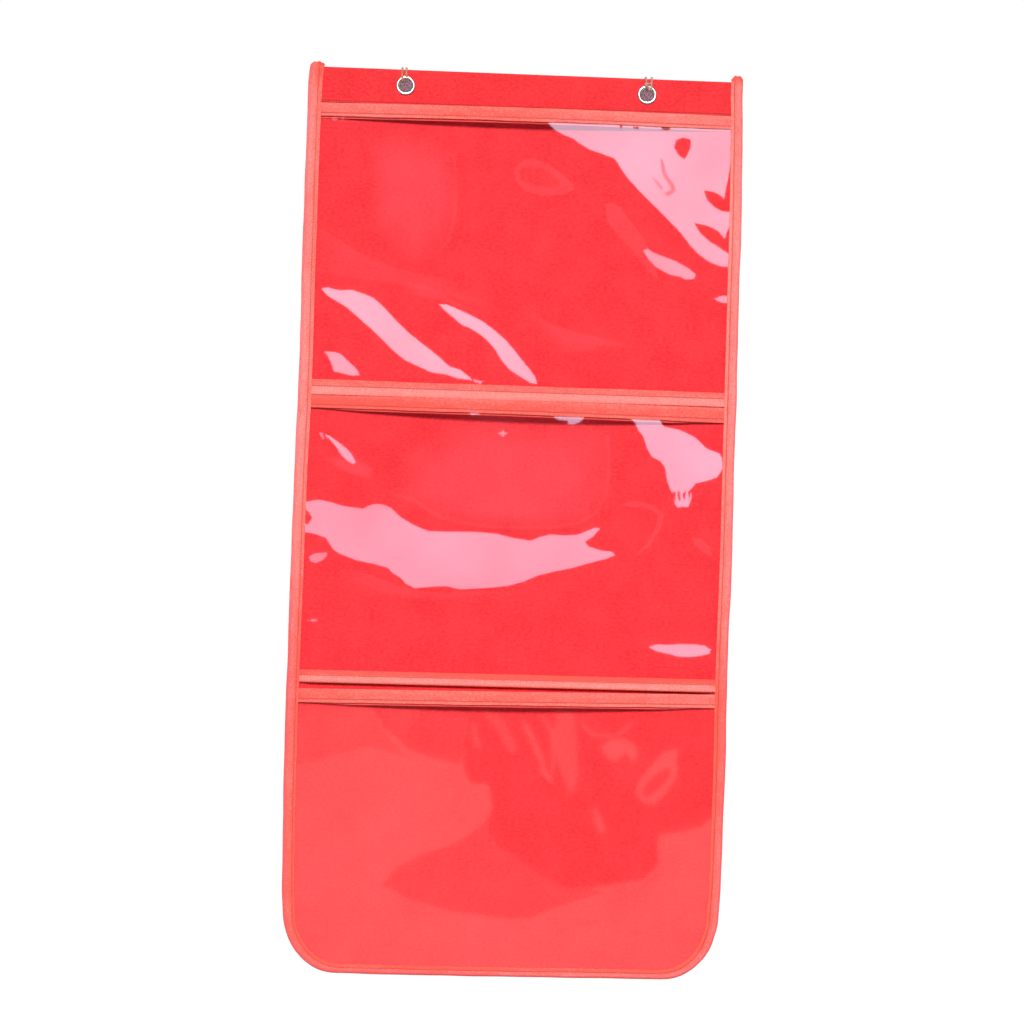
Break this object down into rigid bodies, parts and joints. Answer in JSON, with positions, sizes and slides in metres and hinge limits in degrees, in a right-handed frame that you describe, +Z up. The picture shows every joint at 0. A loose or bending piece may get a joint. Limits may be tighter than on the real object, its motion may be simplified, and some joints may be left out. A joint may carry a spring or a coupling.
{
  "type": "hanging artwork pouch",
  "caption": "Tall red cloth wall pouch with stacked clear pockets, folded tapes, bound rounded edges, a stiffened header, metal eyelets and twine ties.",
  "frame": {"origin": "halfway between the centres of the two eyelets, on the back face of the cloth panel, which lies against the wall", "axes": "+Z up, +Y into the wall behind the pouch, so the pockets face -Y, and +X to the right of someone looking at the pockets"},
  "size_m": [0.353, 0.0178, 0.7302],
  "materials": {
    "red_cloth": "fine plain weave, matt",
    "salmon_tape": "ribbed woven tape with a soft sheen",
    "clear_sheet": "clear flexible film, glossy and slightly wavy",
    "white_strip": "smooth",
    "nickel": "rolled and polished, lightly worn",
    "tan_twine": "twisted natural fibre, slightly hairy"
  },
  "bodies": {
    "root": {"back_panel": "red_cloth", "edge_binding": "salmon_tape", "eyelet_left": "nickel", "eyelet_right": "nickel", "eyelet_washer_left": "nickel", "eyelet_washer_right": "nickel", "foot_tape_middle": "salmon_tape", "foot_tape_upper": "salmon_tape", "hang_tie_knot_left": "tan_twine", "hang_tie_knot_right": "tan_twine", "hang_tie_left": "tan_twine", "hang_tie_right": "tan_twine", "header_stiffener": "white_strip", "mouth_tape_lower": "salmon_tape", "mouth_tape_middle": "salmon_tape", "mouth_tape_upper": "salmon_tape", "pocket_front_lower": "clear_sheet", "pocket_front_middle": "clear_sheet", "pocket_front_upper": "clear_sheet"}
  },
  "joints": []
}
